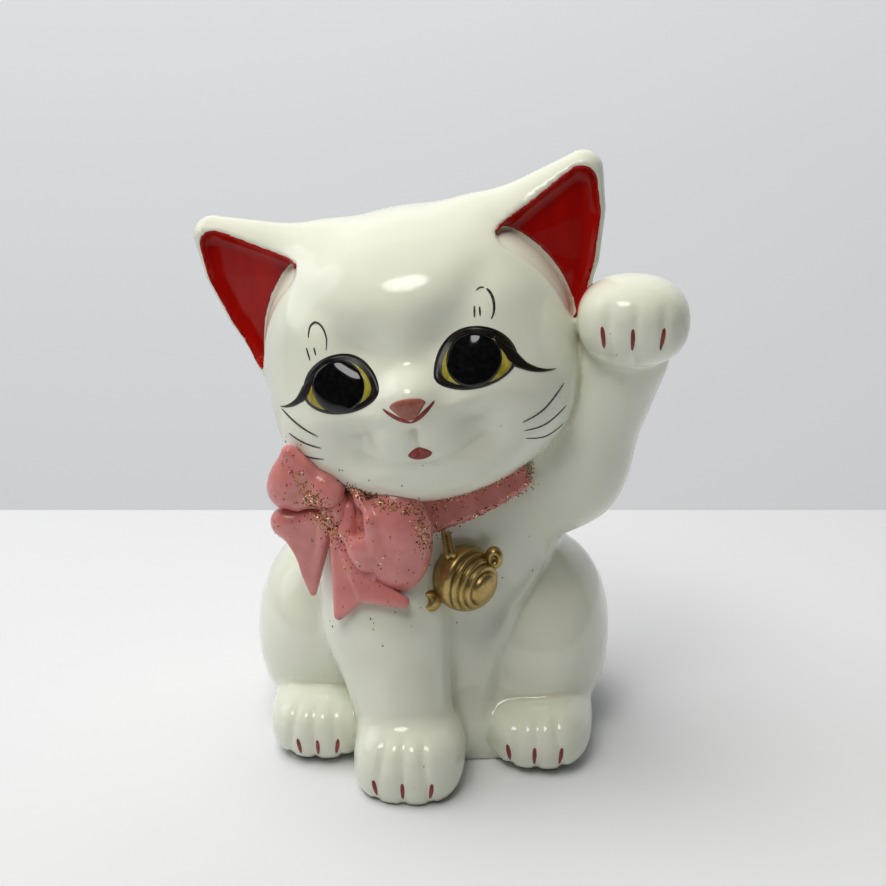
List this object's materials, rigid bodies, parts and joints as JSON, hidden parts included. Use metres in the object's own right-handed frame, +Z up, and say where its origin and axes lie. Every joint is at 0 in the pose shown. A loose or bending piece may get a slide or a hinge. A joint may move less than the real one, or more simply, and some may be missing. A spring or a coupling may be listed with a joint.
{
  "type": "beckoning cat figurine",
  "caption": "Seated glazed ceramic cat figurine with one raised paw, ribbon bow, bell and a rubber-stoppered base hole.",
  "frame": {"origin": "middle of the bounding box's bottom face, on the surface the cat stands on", "axes": "+Z up, the cat faces -Y, its left side and raised paw are at +X"},
  "size_m": [0.1635, 0.1264, 0.204],
  "materials": {
    "white_glaze": "glossy warm white glaze over slip-cast earthenware",
    "pink_enamel": "dusty pink cold paint with scattered gold glitter, satin gloss",
    "gold_lustre": "antique gold paint, darker in the recesses",
    "red_enamel": "deep red gloss enamel",
    "salmon_enamel": "salmon enamel, satin",
    "black_enamel": "gloss black enamel with yellow irises",
    "stopper_rubber": "matt dark moulded rubber"
  },
  "bodies": {
    "figure": {"torso": "white_glaze", "head": "white_glaze", "ear_left": "white_glaze", "ear_right": "white_glaze", "haunch_left": "white_glaze", "haunch_right": "white_glaze", "hind_paw_left": "white_glaze", "hind_paw_right": "white_glaze", "foreleg_right": "white_glaze", "front_paw_right": "white_glaze", "arm_left": "white_glaze", "raised_paw_left": "white_glaze", "tail": "white_glaze", "ribbon_band": "pink_enamel", "bow_knot": "pink_enamel", "bow_loop_lower": "pink_enamel", "bow_loop_upper": "pink_enamel", "bow_tail_left": "pink_enamel", "bow_tail_right": "pink_enamel", "bell_body": "gold_lustre", "bell_hanger": "gold_lustre", "bell_lug_left": "gold_lustre", "bell_lug_right": "gold_lustre", "ear_lining_left": "red_enamel", "ear_lining_right": "red_enamel", "mouth": "red_enamel", "nose": "salmon_enamel", "eye_left": "black_enamel", "eye_right": "black_enamel"},
    "stopper": {"base_stopper": "stopper_rubber"}
  },
  "joints": [
    {"name": "stopper_pull", "type": "slide", "parent": "figure", "child": "stopper", "axis": [0, 0, -1], "range_m": [0, 0.02]}
  ]
}
